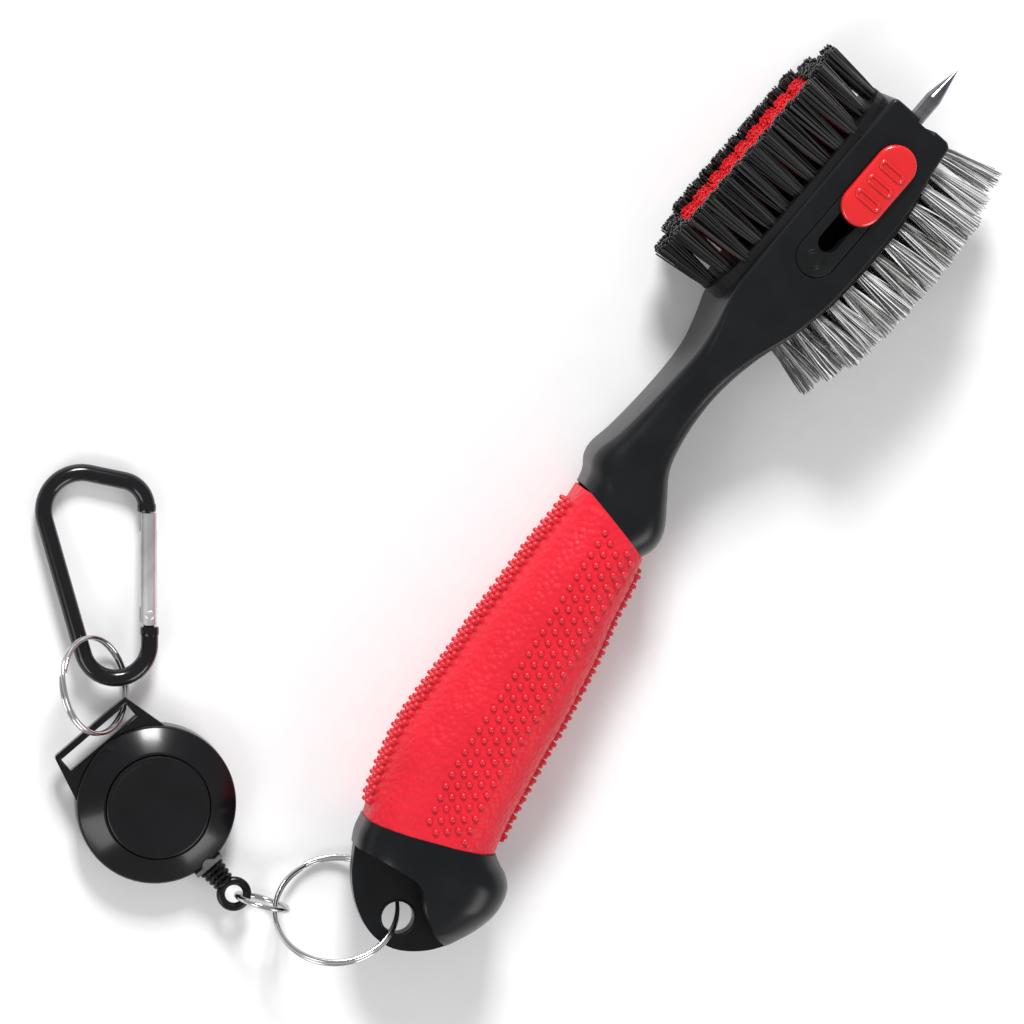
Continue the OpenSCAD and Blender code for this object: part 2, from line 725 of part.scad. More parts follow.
module latch_pin_at() {
    translate([gate_u - 1.1, latch_v, -latch_pin_h / 2]) children();
}

module gate_latch_pin() {
    color(steel) carabiner_plane() latch_pin_at() cylinder(h = latch_pin_h, r = latch_pin_r);
}

module gate_plunger() {
    color(steel) carabiner_plane() translate([gate_u - 0.6, gate_low_v + 4.55, 0]) rotate([-90, 0, 0])
        cylinder(h = 1.4, r = 0.8);
}

module gate_spring() {
    color(steel) carabiner_plane() translate([gate_u - 0.6, gate_low_v + 6, 0]) rotate([-90, 0, 0])
        cylinder(h = 3.9, r = 0.75);
}

handle_core();
nylon_pad();
nylon_tufts_black();
nylon_tufts_red();
nylon_anchors();
wire_pad();
wire_tufts();
wire_anchors();
track_plate();
thumb_slider();
spike_carrier();
spike();
detent_spring();
grip_sleeve();
end_cap();
lower_split_ring();
link_ring();
cord_eye();
cord_lead();
reel_back_shell();
reel_front_shell();
reel_front_disc();
exit_bush();
reel_axle();
spool();
cord_winding();
power_spring();
upper_split_ring();
carabiner_frame();
gate_pivot_pin();
carabiner_gate();
gate_latch_pin();
gate_plunger();
gate_spring();
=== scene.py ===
import math
import random

import bpy
import bmesh
from mathutils import Matrix, Vector


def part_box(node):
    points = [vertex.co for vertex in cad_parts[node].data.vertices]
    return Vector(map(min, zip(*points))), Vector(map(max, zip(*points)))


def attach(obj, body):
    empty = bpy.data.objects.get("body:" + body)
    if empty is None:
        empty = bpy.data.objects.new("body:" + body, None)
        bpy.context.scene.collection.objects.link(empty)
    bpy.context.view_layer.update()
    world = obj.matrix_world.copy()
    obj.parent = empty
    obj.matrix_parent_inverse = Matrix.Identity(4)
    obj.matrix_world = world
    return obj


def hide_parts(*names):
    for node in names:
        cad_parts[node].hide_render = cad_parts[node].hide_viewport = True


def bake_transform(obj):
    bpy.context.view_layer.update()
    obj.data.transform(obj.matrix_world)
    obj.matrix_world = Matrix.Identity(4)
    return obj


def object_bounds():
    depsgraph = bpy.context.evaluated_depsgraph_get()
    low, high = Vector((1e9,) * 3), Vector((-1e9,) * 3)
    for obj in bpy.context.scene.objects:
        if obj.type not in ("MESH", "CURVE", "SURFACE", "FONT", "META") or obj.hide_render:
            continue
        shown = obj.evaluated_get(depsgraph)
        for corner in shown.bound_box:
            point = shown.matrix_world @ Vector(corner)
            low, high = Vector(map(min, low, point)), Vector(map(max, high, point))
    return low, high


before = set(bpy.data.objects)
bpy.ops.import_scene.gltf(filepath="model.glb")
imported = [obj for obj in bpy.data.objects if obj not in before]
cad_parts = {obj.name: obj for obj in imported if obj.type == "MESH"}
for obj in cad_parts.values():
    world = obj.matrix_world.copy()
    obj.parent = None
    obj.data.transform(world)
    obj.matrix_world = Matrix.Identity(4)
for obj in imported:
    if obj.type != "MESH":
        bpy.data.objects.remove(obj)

first_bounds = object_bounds()
MM = 0.001
MID_Z = 13.0  # half the depth of the head, and the height of its middle above the floor

# ---------------------------------------------------------------- camera
VIEW_LEAN = math.radians(12.4)
VIEW_ROLL = math.radians(40.6)
CAMERA_AT = Vector((-318.1, -86.7, 1412.0)) * MM
LENS_MM = 249.96

look = Vector((math.sin(VIEW_LEAN), 0, -math.cos(VIEW_LEAN)))
level = Vector((math.cos(VIEW_LEAN), 0, math.sin(VIEW_LEAN)))
right = math.cos(VIEW_ROLL) * level + math.sin(VIEW_ROLL) * Vector((0, 1, 0))
up = -math.sin(VIEW_ROLL) * level + math.cos(VIEW_ROLL) * Vector((0, 1, 0))
camera = bpy.data.objects.new("camera", bpy.data.cameras.new("camera"))
bpy.context.scene.collection.objects.link(camera)
camera.matrix_world = Matrix.Translation(CAMERA_AT) @ Matrix((right, up, -look)).transposed().to_4x4()
camera.data.lens = LENS_MM
camera.data.sensor_width = 36
camera.data.clip_start = 0.05
camera.data.clip_end = 20
bpy.context.scene.camera = camera


# ---------------------------------------------------------------- mesh helpers, all in millimetres
def add(name, verts, faces, material, smooth=True, sharp=None):
    """A new object; edges steeper than sharp degrees stay hard."""
    mesh = bpy.data.meshes.new(name)
    mesh.from_pydata([tuple(c * MM for c in v) for v in verts], [], faces)
    mesh.validate()
    mesh.polygons.foreach_set("use_smooth", [smooth] * len(mesh.polygons))
    if sharp:
        mesh.set_sharp_from_angle(angle=math.radians(sharp))
    mesh.materials.append(material)
    obj = bpy.data.objects.new(name, mesh)
    bpy.context.scene.collection.objects.link(obj)
    return obj


def outward(obj):
    """Turns every face outward."""
    work = bmesh.new()
    work.from_mesh(obj.data)
    bmesh.ops.recalc_face_normals(work, faces=work.faces)
    work.to_mesh(obj.data)
    work.free()
    return obj


def round_edges(obj, width, segments=3, angle=35):
    """A small bevel on every edge steeper than angle degrees."""
    tool = obj.modifiers.new("edges", "BEVEL")
    tool.width = width * MM
    tool.segments = segments
    tool.limit_method = "ANGLE"
    tool.angle_limit = math.radians(angle)
    tool.harden_normals = True
    return obj


def carve(obj, cutters, sharp):
    """Cuts the cutters out of obj and removes them."""
    for cutter in cutters:
        tool = obj.modifiers.new("carve", "BOOLEAN")
        tool.operation = "DIFFERENCE"
        tool.solver = "EXACT"
        tool.object = cutter
    graph = bpy.context.evaluated_depsgraph_get()
    carved = bpy.data.meshes.new_from_object(obj.evaluated_get(graph))
    obj.modifiers.clear()
    obj.data = carved
    obj.data.polygons.foreach_set("use_smooth", [True] * len(obj.data.polygons))
    obj.data.set_sharp_from_angle(angle=math.radians(sharp))
    for cutter in cutters:
        bpy.data.objects.remove(cutter)
    return obj


def halve(obj, point, angle, keep_low):
    """Cuts obj by an upright plane through point; the lower side in y is kept if keep_low."""
    turn = math.radians(angle)
    normal = Vector((-math.sin(turn), math.cos(turn), 0))
    work = bmesh.new()
    work.from_mesh(obj.data)
    cut = bmesh.ops.bisect_plane(work, geom=work.verts[:] + work.edges[:] + work.faces[:],
                                 plane_co=Vector((point[0], point[1], 0)) * MM, plane_no=normal,
                                 clear_outer=keep_low, clear_inner=not keep_low)
    rim = [e for e in cut["geom_cut"] if isinstance(e, bmesh.types.BMEdge)]
    bmesh.ops.holes_fill(work, edges=rim, sides=0)
    work.to_mesh(obj.data)
    work.free()
    return obj


def spline(rows, steps):
    """Catmull-Rom rows between the given rows."""
    out = []
    for k in range(len(rows) - 1):
        a, b, c, d = rows[max(k - 1, 0)], rows[k], rows[k + 1], rows[min(k + 2, len(rows) - 1)]
        for i in range(steps):
            t = i / steps
            out.append([0.5 * (2 * q + (r - p) * t + (2 * p - 5 * q + 4 * r - s) * t * t
                               + (3 * q - p - 3 * r + s) * t ** 3) for p, q, r, s in zip(a, b, c, d)])
    out.append(list(rows[-1]))
    return out


def rounded_ring(hw, hd, r, steps):
    """A rounded rectangle of half width hw and half depth hd, counterclockwise."""
    r = min(r, hw * 0.999, hd * 0.999)
    ring = []
    corners = ((hw - r, hd - r, 0), (r - hw, hd - r, 90), (r - hw, r - hd, 180), (hw - r, r - hd, 270))
    for cx, cy, start in corners:
        for i in range(steps + 1):
            a = math.radians(start + 90 * i / steps)
            ring.append((cx + r * math.cos(a), cy + r * math.sin(a)))
    return ring


def loft(name, stations, material, steps=8, sharp=40):
    """A body through rounded rectangles [x, y, tilt, half width, half depth, corner radius]."""
    verts, faces = [], []
    for x, y, tilt, hw, hd, r in stations:
        c, s = math.cos(math.radians(tilt)), math.sin(math.radians(tilt))
        verts += [(x + p * c, y + p * s, MID_Z + q) for p, q in rounded_ring(hw, hd, r, steps)]
    n = 4 * (steps + 1)
    for j in range(len(stations) - 1):
        faces += [(j * n + i, (j + 1) * n + i, (j + 1) * n + (i + 1) % n, j * n + (i + 1) % n)
                  for i in range(n)]
    faces.append(tuple(range(n)))
    faces.append(tuple((len(stations) - 1) * n + i for i in reversed(range(n))))
    obj = outward(add(name, verts, faces, material))
    obj.data.set_sharp_from_angle(angle=math.radians(sharp))
    return obj


def stack(name, loops, material, sharp=40, cap=True):
    """Closed loops of as many points each, joined one to the next, and the last to the first unless cap."""
    n = len(loops[0])
    verts = [p for loop in loops for p in loop]
    faces = [(j * n + i, (j + 1) * n + i, (j + 1) * n + (i + 1) % n, j * n + (i + 1) % n)
             for j in range(len(loops) - 1) for i in range(n)]
    if cap:
        faces += [tuple(range(n)), tuple((len(loops) - 1) * n + i for i in reversed(range(n)))]
    else:
        last = (len(loops) - 1) * n
        faces += [(last + i, i, (i + 1) % n, last + (i + 1) % n) for i in range(n)]
    obj = outward(add(name, verts, faces, material))
    obj.data.set_sharp_from_angle(angle=math.radians(sharp))
    return obj


def stadium(width, y0, y1, z, inset=0.0, steps=20):
    """A slot shape from y0 to y1 at height z, drawn in by inset."""
    r = width / 2 - inset
    low, high = y0 + width / 2, y1 - width / 2
    turns = [(r * math.cos(math.pi * i / steps), r * math.sin(math.pi * i / steps)) for i in range(steps + 1)]
    return [(c, high + q, z) for c, q in turns] + [(-c, low - q, z) for c, q in turns]


def circle(r, steps):
    """Points round a circle, counterclockwise."""
    turns = [2 * math.pi * i / steps for i in range(steps)]
    return [(r * math.cos(t), r * math.sin(t)) for t in turns]


AXIS_R = 0.01  # radius that stands for a point on the axis


def lathe(name, profile, place, material, turns=128, sharp=35):
    """profile of (radius, height), turned about place's Z; a radius of 0 closes on the axis."""
    loops = [[tuple(place @ Vector((x, y, h))) for x, y in circle(max(r, AXIS_R), turns)] for r, h in profile]
    return stack(name, loops, material, sharp)


TIP_SHARE = 0.55  # radius of a rounded tip's flat, as a share of the rod's


def tube(name, path, radius, material, sides=20, closed=False, ends=0.0):
    """A round rod along path; ends rounds its tips."""
    path = [Vector(p) for p in path]
    n = len(path)
    loops = []
    side = None
    for k, p in enumerate(path):
        before = path[(k - 1) % n] if closed or k else p
        after = path[(k + 1) % n] if closed or k < n - 1 else p
        along = (after - before).normalized()
        if side is None:
            side = along.orthogonal().normalized()
        side = (side - along * side.dot(along)).normalized()
        other = along.cross(side)
        r = radius[k] if isinstance(radius, list) else radius
        ring = circle(1, sides)
        loop = [tuple(p + r * (c * side + s * other)) for c, s in ring]
        if not closed and ends and k == 0:
            loops.append([tuple(p - along * ends + TIP_SHARE * r * (c * side + s * other)) for c, s in ring])
        loops.append(loop)
        if not closed and ends and k == n - 1:
            loops.append([tuple(p + along * ends + TIP_SHARE * r * (c * side + s * other)) for c, s in ring])
    return stack(name, loops, material, sharp=60, cap=not closed)


def join(name, objs):
    """One object from several."""
    work = bmesh.new()
    for obj in objs:
        work.from_mesh(obj.data)
    mesh = bpy.data.meshes.new(name)
    work.to_mesh(mesh)
    work.free()
    mesh.materials.append(objs[0].data.materials[0])
    out = bpy.data.objects.new(name, mesh)
    bpy.context.scene.collection.objects.link(out)
    for obj in objs:
        bpy.data.objects.remove(obj)
    return out


# ---------------------------------------------------------------- materials
ROUGH_SPREAD = 0.12
COAT_ROUGH = 0.08


def material(name, color, rough, metal=0.0, coat=0.0, grain=None, pebble=None, streak=None, island=0.0,
             specular=0.5, tint=0.25):
    """grain and pebble are (size in mm, bump strength, depth in mm); streak scales the grain per axis.

    tint varies the colour in clouds, or island varies it from one loose piece of the mesh to the next.
    """
    mat = bpy.data.materials.new(name)
    mat.use_nodes = True
    nodes, links = mat.node_tree.nodes, mat.node_tree.links
    shader = nodes["Principled BSDF"]
    shader.inputs["Metallic"].default_value = metal
    shader.inputs["Coat Weight"].default_value = coat
    shader.inputs["Coat Roughness"].default_value = COAT_ROUGH
    shader.inputs["Specular IOR Level"].default_value = specular
    where = nodes.new("ShaderNodeTexCoord")
    place = nodes.new("ShaderNodeMapping")
    if streak:
        place.inputs["Scale"].default_value = streak
    links.new(where.outputs["Object"], place.inputs["Vector"])
    cloud = nodes.new("ShaderNodeTexNoise")
    cloud.inputs["Scale"].default_value = 140
    cloud.inputs["Detail"].default_value = 5
    links.new(place.outputs["Vector"], cloud.inputs["Vector"])
    shade = nodes.new("ShaderNodeMapRange")
    shade.inputs["To Min"].default_value = max(rough * (1 - ROUGH_SPREAD) - 0.01, 0.02)
    shade.inputs["To Max"].default_value = min(rough * (1 + ROUGH_SPREAD) + 0.02, 1.0)
    links.new(cloud.outputs["Fac"], shade.inputs["Value"])
    links.new(shade.outputs["Result"], shader.inputs["Roughness"])
    ramp = nodes.new("ShaderNodeValToRGB")
    ramp.color_ramp.elements[0].color = (*[c * (1 - tint) for c in color], 1)
    ramp.color_ramp.elements[1].color = (*[min(c * (1 + tint), 1) for c in color], 1)
    ramp.color_ramp.elements[0].position = 0.3
    ramp.color_ramp.elements[1].position = 0.7
    if island:
        each = nodes.new("ShaderNodeNewGeometry")
        links.new(each.outputs["Random Per Island"], ramp.inputs["Fac"])
        ramp.color_ramp.elements[0].color = (*[c * (1 - island) for c in color], 1)
        ramp.color_ramp.elements[1].color = (*[min(c * (1 + island), 1) for c in color], 1)
    else:
        links.new(cloud.outputs["Fac"], ramp.inputs["Fac"])
    links.new(ramp.outputs["Color"], shader.inputs["Base Color"])
    normal = None
    for kind, spec in (("ShaderNodeTexNoise", grain), ("ShaderNodeTexVoronoi", pebble)):
        if not spec:
            continue
        size, strength, depth = spec
        texture = nodes.new(kind)
        texture.inputs["Scale"].default_value = 1000 / size
        links.new(place.outputs["Vector"], texture.inputs["Vector"])
        bump = nodes.new("ShaderNodeBump")
        bump.inputs["Strength"].default_value = strength
        bump.inputs["Distance"].default_value = depth * MM
        bump.invert = kind == "ShaderNodeTexVoronoi"
        height = "Distance" if kind == "ShaderNodeTexVoronoi" else "Fac"
        links.new(texture.outputs[height], bump.inputs["Height"])
        if normal:
            links.new(normal, bump.inputs["Normal"])
        normal = bump.outputs["Normal"]
    if normal:
        links.new(normal, shader.inputs["Normal"])
    return mat


head_black = material("head_black", (0.0045, 0.005, 0.006), 0.30, grain=(0.32, 0.30, 0.10), specular=0.28)
plate_black = material("plate_black", (0.004, 0.0045, 0.005), 0.36, grain=(0.32, 0.30, 0.08), specular=0.25)
pad_black = material("pad_black", (0.004, 0.004, 0.005), 0.5, grain=(0.5, 0.2, 0.1), specular=0.25)
cap_black = material("cap_black", (0.0045, 0.005, 0.006), 0.30, grain=(0.30, 0.22, 0.07), specular=0.25)
grip_red = material("grip_red", (0.66, 0.014, 0.030), 0.42, pebble=(1.25, 0.7, 0.35), grain=(0.35, 0.2, 0.06),
                    tint=0.05, specular=0.22)
nub_red = material("nub_red", (0.60, 0.010, 0.024), 0.34, grain=(0.5, 0.1, 0.05), tint=0.06)
button_red = material("button_red", (0.62, 0.005, 0.008), 0.24, coat=0.6, grain=(2.5, 0.05, 0.05), tint=0.05)
nylon_black = material("nylon_black", (0.018, 0.018, 0.019), 0.24, island=0.9, specular=0.6)
nylon_red = material("nylon_red", (0.66, 0.006, 0.012), 0.38, island=0.3, specular=0.5)
wire_steel = material("wire_steel", (0.95, 0.94, 0.91), 0.38, metal=0.7, island=0.85)
spike_steel = material("spike_steel", (0.20, 0.20, 0.22), 0.18, metal=1.0, grain=(0.4, 0.12, 0.05),
                       streak=(0.2, 3, 0.2))
ring_nickel = material("ring_nickel", (0.55, 0.55, 0.56), 0.12, metal=1.0, grain=(1.5, 0.05, 0.05), tint=0.06)
plain_steel = material("plain_steel", (0.50, 0.50, 0.52), 0.32, metal=1.0, grain=(0.4, 0.1, 0.05))
reel_gloss = material("reel_gloss", (0.003, 0.003, 0.004), 0.20, coat=0.1, grain=(4.0, 0.04, 0.1), specular=0.3)
disc_black = material("disc_black", (0.004, 0.004, 0.005), 0.26, grain=(0.30, 0.08, 0.04), specular=0.3)
bush_grey = material("bush_grey", (0.10, 0.10, 0.105), 0.45, grain=(0.4, 0.15, 0.05))
inner_grey = material("inner_grey", (0.06, 0.06, 0.062), 0.5, grain=(0.5, 0.15, 0.06))
cord_black = material("cord_black", (0.015, 0.015, 0.016), 0.75, grain=(0.25, 0.8, 0.15))
clip_black = material("clip_black", (0.003, 0.003, 0.004), 0.17, coat=0.2, specular=0.3,
                      grain=(3.0, 0.05, 0.08))
gate_silver = material("gate_silver", (0.66, 0.66, 0.67), 0.34, metal=0.9, grain=(0.5, 0.15, 0.04),
                       streak=(1, 0.15, 1))

# ---------------------------------------------------------------- the head and the neck, one moulding
# Middle x, y, tilt, half width, half depth and corner radius of each section
HEAD_STATIONS = [
    [-1.35, 26.2, 0, 6.7, 12.5, 0.7],
    [-1.35, 25.8, 0, 7.3, 12.85, 0.9],
    [-1.3, 24.9, 0, 7.75, 13, 0.9],
    [-1.0, 20, 0, 8.1, 13, 0.9],
    [-0.5, 14, 0, 8.7, 13, 0.9],
    [-0.05, 6, 0, 9.15, 13, 0.9],
    [0.1, -4, 0, 9.2, 13, 0.9],
    [0, -14, 0, 8.9, 13, 0.9],
    [-0.45, -22, 0, 8.05, 12.95, 0.9],
    [-0.7, -27, 0, 6.9, 12.6, 1.1],
    [-0.5, -32, 0, 5.6, 11.7, 1.6],
    [-0.25, -38, 0, 4.65, 10.3, 2.2],
    [-0.2, -45, 0, 4.5, 9.4, 2.6],
    [0.1, -53, 2, 5.1, 9.4, 3.2],
    [0.8, -60, 4, 6.4, 9.8, 4.0],
    [2.3, -65, 2, 8.8, 10.1, 5.2],
    [4.4, -69, -4, 10.5, 10.4, 6.3],
    [5.7, -72.4, -8, 10.2, 10.4, 7],
    [5.6, -76.5, -8, 9.0, 10.1, 7]]
GRIP_START = (5.7, -75.0)
GRIP_TILT = 11.0
TOP_CUT = -11.0
LOW_CUT = 24.3
LOW_CUT_AT = (19.6, -147.0)

head = loft("head_and_neck", spline(HEAD_STATIONS, 8), head_black, steps=8, sharp=38)
halve(head, GRIP_START, TOP_CUT, keep_low=False)
pocket = stack("pocket", [stadium(8.9, -12.6, 20, z) for z in (22.5, 27)], head_black)
cavity = stack("cavity", [stadium(7.6, -12.2, 19.2, z) for z in (7.0, 22.6)], head_black)
NOTCH = ((-2.1, 25.4), (2.1, 25.4), (2.1, 30), (-2.1, 30))
notch = stack("notch", [[(x, y, z) for x, y in NOTCH] for z in (-1, 27)], head_black)
carve(head, [pocket, cavity, notch], 38)
round_edges(head, 0.16, 2, 50)

PLATE, SLOT_RIM, SLOT = (8.7, -12.5, 19.9), (4.5, -6.8, 15.8), (4.0, -6.6, 15.5)  # width, low y, high y
plate = stack("plate", [stadium(*PLATE, 22.6), stadium(*PLATE, 25.62), stadium(*PLATE, 25.85, 0.1),
                        stadium(*PLATE, 25.92, 0.28), stadium(*SLOT_RIM, 25.92),
                        stadium(*SLOT_RIM, 25.78, 0.14), stadium(*SLOT, 25.5), stadium(*SLOT, 22.6)],
              plate_black, sharp=30, cap=False)
MARK_Y = -9
mark = join("ring_mark", [
    tube(name, [(x, MARK_Y + y, z) for x, y in circle(r, 60)], wire_r, plate_black, sides=8, closed=True)
    for name, r, z, wire_r in (("mark_outer", 2.0, 25.93, 0.13), ("mark_inner", 1.45, 25.90, 0.07))])

BUTTON = (8.7, 1.0, 20.0)  # width, low y, high y
BUTTON_EDGE = ((0.35, 26.12), (0.1, 26.2), (0, 26.45), (0, 27.05), (0.12, 27.4), (0.4, 27.62), (0.9, 27.72),
               (2.2, 27.76))  # inset, height
button = stack("button", [stadium(*BUTTON, z, inset) for inset, z in BUTTON_EDGE], button_red, sharp=50)
stem = stack("stem", [stadium(3.7, 7.3, 15.2, z) for z in (20, 26.3)], button_red)


def rib_path(y):
    """A slot shape lying across the button."""
    loop = stadium(1.7, -2.9, 2.9, 0, 0.1, 10)
    return [(q, y + p, 27.78) for p, q, _ in loop]


RIB_YS = (6.9, 10.6, 14.3)
ribs = [tube("rib", rib_path(y), 0.40, button_red, sides=10, closed=True) for y in RIB_YS]
slider = join("slider", [button, stem] + ribs)

# ---------------------------------------------------------------- the grip
# Distance along the grip, shift to the side, half width, half depth and corner radius of each section
GRIP_PROFILE = [
    [-3, 0.1, 9.1, 10.1, 7.0], [3.5, -0.1, 9.4, 10.3, 7.4], [10, -0.4, 10.3, 10.8, 8],
    [17, -0.7, 10.9, 11.2, 8.4], [24, -0.7, 11.8, 11.4, 8.8], [32, -1, 12.6, 11.6, 9.2],
    [40, -1.2, 13.1, 11.8, 9.4], [48, -1.7, 13.6, 12, 9.6], [56, -2, 14.1, 12.2, 9.8],
    [63, -1.7, 14, 12.3, 9.8], [70, -0.9, 13.9, 12.3, 9.8], [77, 0.2, 13.5, 12.3, 9.8],
    [86, 1.2, 13, 12.2, 9.6]]


def grip_point(s, w):
    """x and y of the point s along the grip and w across it."""
    tilt = math.radians(GRIP_TILT)
    return (GRIP_START[0] + s * math.sin(tilt) + w * math.cos(tilt),
            GRIP_START[1] - s * math.cos(tilt) + w * math.sin(tilt))


fine_profile = spline(GRIP_PROFILE, 10)


def profile_at(s):
    for a, b in zip(fine_profile, fine_profile[1:]):
        if a[0] <= s <= b[0]:
            t = (s - a[0]) / (b[0] - a[0])
            return [p + (q - p) * t for p, q in zip(a, b)]
    return fine_profile[-1]


grip = loft("grip", [[*grip_point(s, shift), GRIP_TILT, hw, hd, r] for s, shift, hw, hd, r in fine_profile],
            grip_red, steps=12, sharp=40)
halve(grip, GRIP_START, TOP_CUT, keep_low=True)
halve(grip, LOW_CUT_AT, LOW_CUT, keep_low=False)
round_edges(grip, 0.25, 3, 50)


def on_side(s, side, offset):
    """Point and outward direction on a side of the grip, offset round its section from the middle."""
    _, shift, hw, hd, r = profile_at(s)
    flat = hd - r
    if abs(offset) <= flat:
        p, n = (hw, offset), (1.0, 0.0)
    else:
        a = (abs(offset) - flat) / r
        p = (hw - r + r * math.cos(a), math.copysign(flat + r * math.sin(a), offset))
        n = (math.cos(a), math.copysign(math.sin(a), offset))
    return grip_surface(s, shift, side * p[0], p[1], side * n[0], n[1])


def on_face(s, face, w):
    """Point and outward direction on the front or the back of the grip, w across from its middle."""
    _, shift, hw, hd, r = profile_at(s)
    flat = hw - r
    if abs(w) <= flat:
        p, n = (w, hd), (0.0, 1.0)
    else:
        a = (abs(w) - flat) / r
        p = (math.copysign(flat + r * math.sin(a), w), hd - r + r * math.cos(a))
        n = (math.copysign(math.sin(a), w), math.cos(a))
    return grip_surface(s, shift, p[0], face * p[1], n[0], face * n[1])


def grip_surface(s, shift, w, h, nw, nh):
    tilt = math.radians(GRIP_TILT)
    x, y = grip_point(s, shift + w)
    return Vector((x, y, MID_Z + h)), Vector((nw * math.cos(tilt), nw * math.sin(tilt), nh)).normalized()


def bumps(name, places, profile, mat, sides):
    """Small turned bumps standing at each (point, direction)."""
    verts, faces = [], []
    for at, out in places:
        a = out.orthogonal().normalized()
        b = out.cross(a)
        start = len(verts)
        for r, h in profile:
            for i in range(sides):
                t = 2 * math.pi * i / sides
                verts.append(tuple(at + out * h + r * (math.cos(t) * a + math.sin(t) * b)))
        for j in range(len(profile) - 1):
            for i in range(sides):
                k = (i + 1) % sides
                low, high = start + j * sides, start + (j + 1) * sides
                faces.append((low + i, low + k, high + k, high + i))
        faces.append(tuple(start + (len(profile) - 1) * sides + i for i in range(sides)))
    return add(name, verts, faces, mat, sharp=80)


def above_low_cut(p, margin):
    turn = math.radians(LOW_CUT)
    return (p.x - LOW_CUT_AT[0]) * -math.sin(turn) + (p.y - LOW_CUT_AT[1]) * math.cos(turn) > margin


def below_top_cut(p, margin):
    turn = math.radians(TOP_CUT)
    return (p.x - GRIP_START[0]) * math.sin(turn) - (p.y - GRIP_START[1]) * math.cos(turn) > margin


GRIP_END = 84
NUB_PITCH, NUB_COLUMN = 2.1, 2.0
NUB_PROFILE = [(0.60, -0.3), (0.54, 0.4), (0.52, 0.8), (0.40, 1.1), (0.18, 1.25)]
dice = random.Random(7)
nubs = []
for side in (-1, 1):
    for column in range(-2, 3):
        s = 1.0 + (column % 2) * NUB_PITCH / 2
        while s < GRIP_END:
            at, out = on_side(s + dice.uniform(-0.08, 0.08), side, column * NUB_COLUMN)
            if above_low_cut(at, 2.2) and below_top_cut(at, 2.0):
                nubs.append((at, out))
            s += NUB_PITCH
nub_mesh = bumps("nubs", nubs, NUB_PROFILE, nub_red, 10)

DOT_PITCH, DOT_SLANT, DOT_COLUMN, DOT_SHIFT = 2.6, 1.23, 2.1, 2.6
DOT_PROFILE = [(0.72, -0.1), (0.68, 0.18), (0.54, 0.44), (0.30, 0.58), (0.10, 0.62)]
dots = []
for face in (1, -1):
    for row in range(-2, 36):
        for column in range(-2, 3):
            s = DOT_PITCH * row - DOT_SLANT * column
            if not 1 < s < GRIP_END:
                continue
            at, out = on_face(s, face, DOT_COLUMN * column + DOT_SHIFT - 0.02 * s)
            if above_low_cut(at, 1.8) and below_top_cut(at, 1.6):
                dots.append((at, out))
dot_mesh = bumps("dots", dots, DOT_PROFILE, nub_red, 12)

# ---------------------------------------------------------------- the end cap
CAP_OUTLINE = [
    [5.9, -150.0], [6.95, -152.7], [8, -156.2], [10.5, -160.2], [13.3, -163.9], [17.2, -167.3],
    [21.3, -169.4], [25.4, -170.1], [29.5, -169.4], [33.6, -166.7], [37.1, -162.6], [39.4, -157.2],
    [40.4, -152], [40, -148], [38.7, -145.1], [36.6, -143.3], [34.1, -142.3], [32.2, -141.3],
    [31.0, -139.8]]
# Distance below the grip, and half depth
CAP_DEPTH = [[-3, 12.3], [6, 12.35], [12, 11.6], [18, 9.8], [23, 7.2], [27, 3.4]]
LANYARD = (25.85, -164.05)
LIP = (11.4, 14.6)
CAP_LOOPS = 60

outline = spline(CAP_OUTLINE, 8)
cut_turn = math.radians(LOW_CUT)


def cut_frame(p):
    """Distances along and below the line where the cap meets the grip."""
    dx, dy = p[0] - LOW_CUT_AT[0], p[1] - LOW_CUT_AT[1]
    return dx * math.cos(cut_turn) + dy * math.sin(cut_turn), dx * math.sin(cut_turn) - dy * math.cos(cut_turn)


flat_outline = [cut_frame(p) for p in outline]
deepest = max(range(len(flat_outline)), key=lambda k: flat_outline[k][1])


def crossing(branch, depth):
    """Where one side of the outline reaches the given depth."""
    for a, b in zip(branch, branch[1:]):
        if (a[1] - depth) * (b[1] - depth) <= 0 and a[1] != b[1]:
            return a[0] + (b[0] - a[0]) * (depth - a[1]) / (b[1] - a[1])
    return branch[-1][0]


def half_depth(depth):
    for a, b in zip(CAP_DEPTH, CAP_DEPTH[1:]):
        if depth <= b[0]:
            return a[1] + (b[1] - a[1]) * (depth - a[0]) / (b[0] - a[0])
    return CAP_DEPTH[-1][1]


cap_stations = []
bottom = flat_outline[deepest][1]
for k in range(CAP_LOOPS + 1):
    depth = bottom * math.sin(math.pi / 2 * k / CAP_LOOPS) * 0.9995
    left = crossing(flat_outline[:deepest + 1], depth)
    right_end = crossing(flat_outline[deepest:], depth)
    e = (left + right_end) / 2
    hw = max((right_end - left) / 2, 0.3)
    hd = half_depth(depth)
    x = LOW_CUT_AT[0] + e * math.cos(cut_turn) + depth * math.sin(cut_turn)
    y = LOW_CUT_AT[1] + e * math.sin(cut_turn) - depth * math.cos(cut_turn)
    cap_stations.append([x, y, LOW_CUT, hw, min(hd, 3.5 + hw), min(9.5, hw, hd)])
cap = loft("cap", cap_stations, cap_black, steps=14, sharp=40)
STEP_LINE = [[3, -161.5], [6, -160], [10.7, -157.7], [14.3, -156.7], [20.4, -155.7], [23, -155.8],
             [25.2, -157], [28, -159.3], [32.7, -161.7], [37, -162.2], [44, -162.0]]
step = spline(STEP_LINE, 5)
step_area = step + [(44, -180), (3, -180)]
cutters = []
for low, high in ((LIP[1], 30), (-4, LIP[0])):
    cutters.append(stack("step", [[(p[0], p[1], z) for p in step_area] for z in (low, high)], cap_black))
hole_place = Matrix.Translation((LANYARD[0], LANYARD[1], 0))
